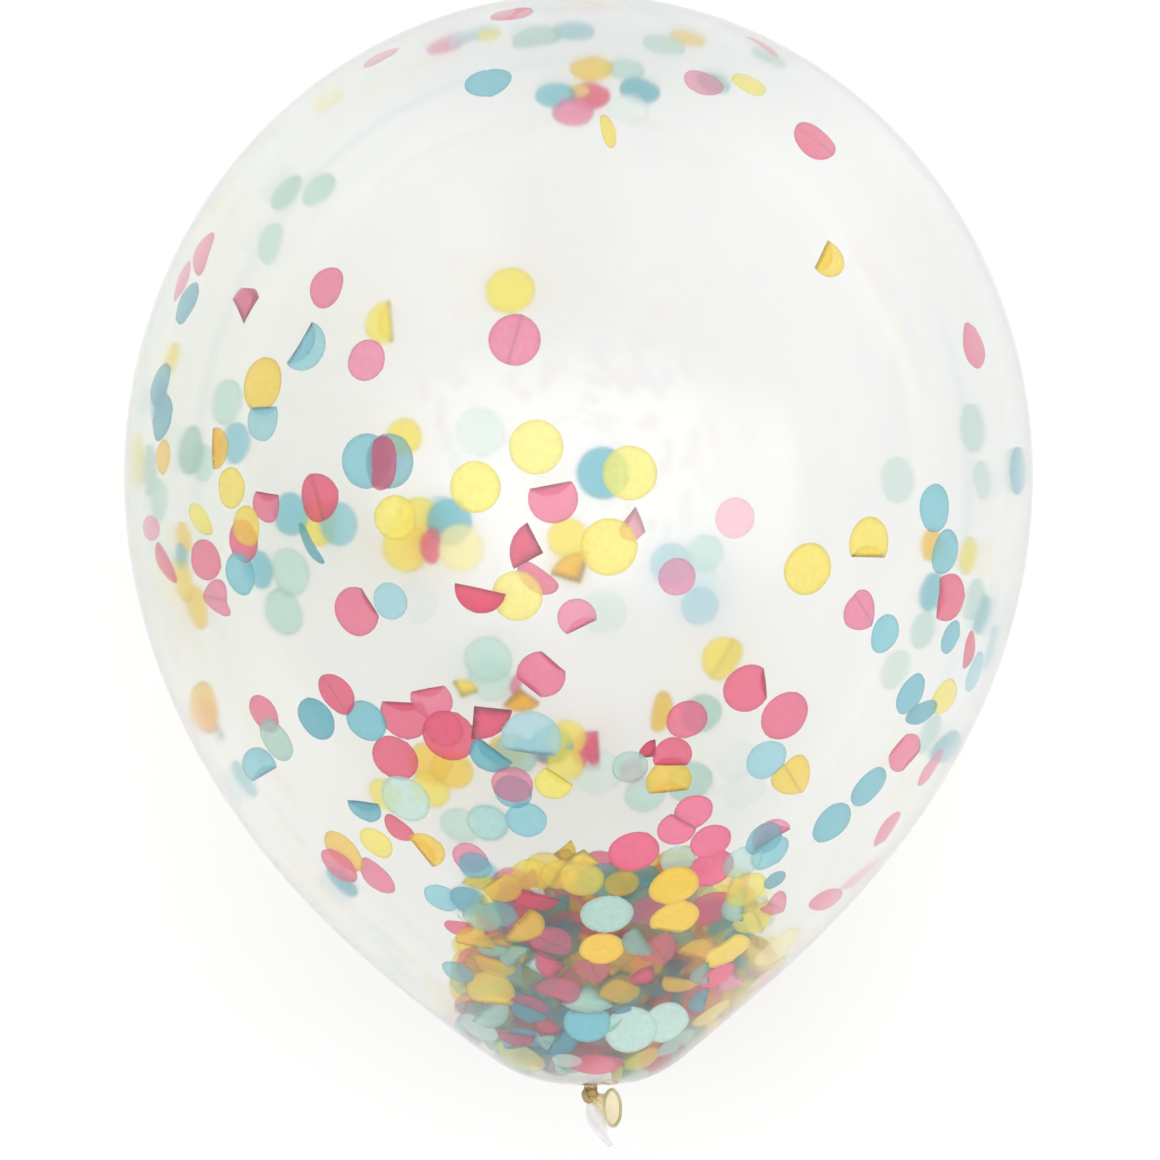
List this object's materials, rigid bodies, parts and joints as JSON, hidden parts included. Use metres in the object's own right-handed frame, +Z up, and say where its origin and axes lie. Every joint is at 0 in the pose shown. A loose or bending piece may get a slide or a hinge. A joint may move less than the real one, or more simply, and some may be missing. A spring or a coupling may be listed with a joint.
{
  "type": "confetti balloon",
  "caption": "Clear latex party balloon, blown up and knotted, with tissue paper confetti inside, lying on its side.",
  "frame": {"origin": "middle of the small flat spot on the underside that the balloon rests on", "axes": "+Z up, +Y along the balloon's long axis from the knot to the crown, +X to the right seen from above with the crown up"},
  "size_m": [0.3, 0.3811, 0.2985],
  "materials": {
    "clear_latex": "thin clear latex, glossy and very slightly milky, amber where it is gathered at the knot",
    "confetti_pink": "thin tissue paper, matt and see-through to light",
    "confetti_yellow": "thin tissue paper, matt and see-through to light",
    "confetti_blue": "thin tissue paper, matt and see-through to light",
    "confetti_mint": "thin tissue paper, matt and see-through to light"
  },
  "bodies": {
    "root": {"balloon": "clear_latex"}
  },
  "joints": []
}
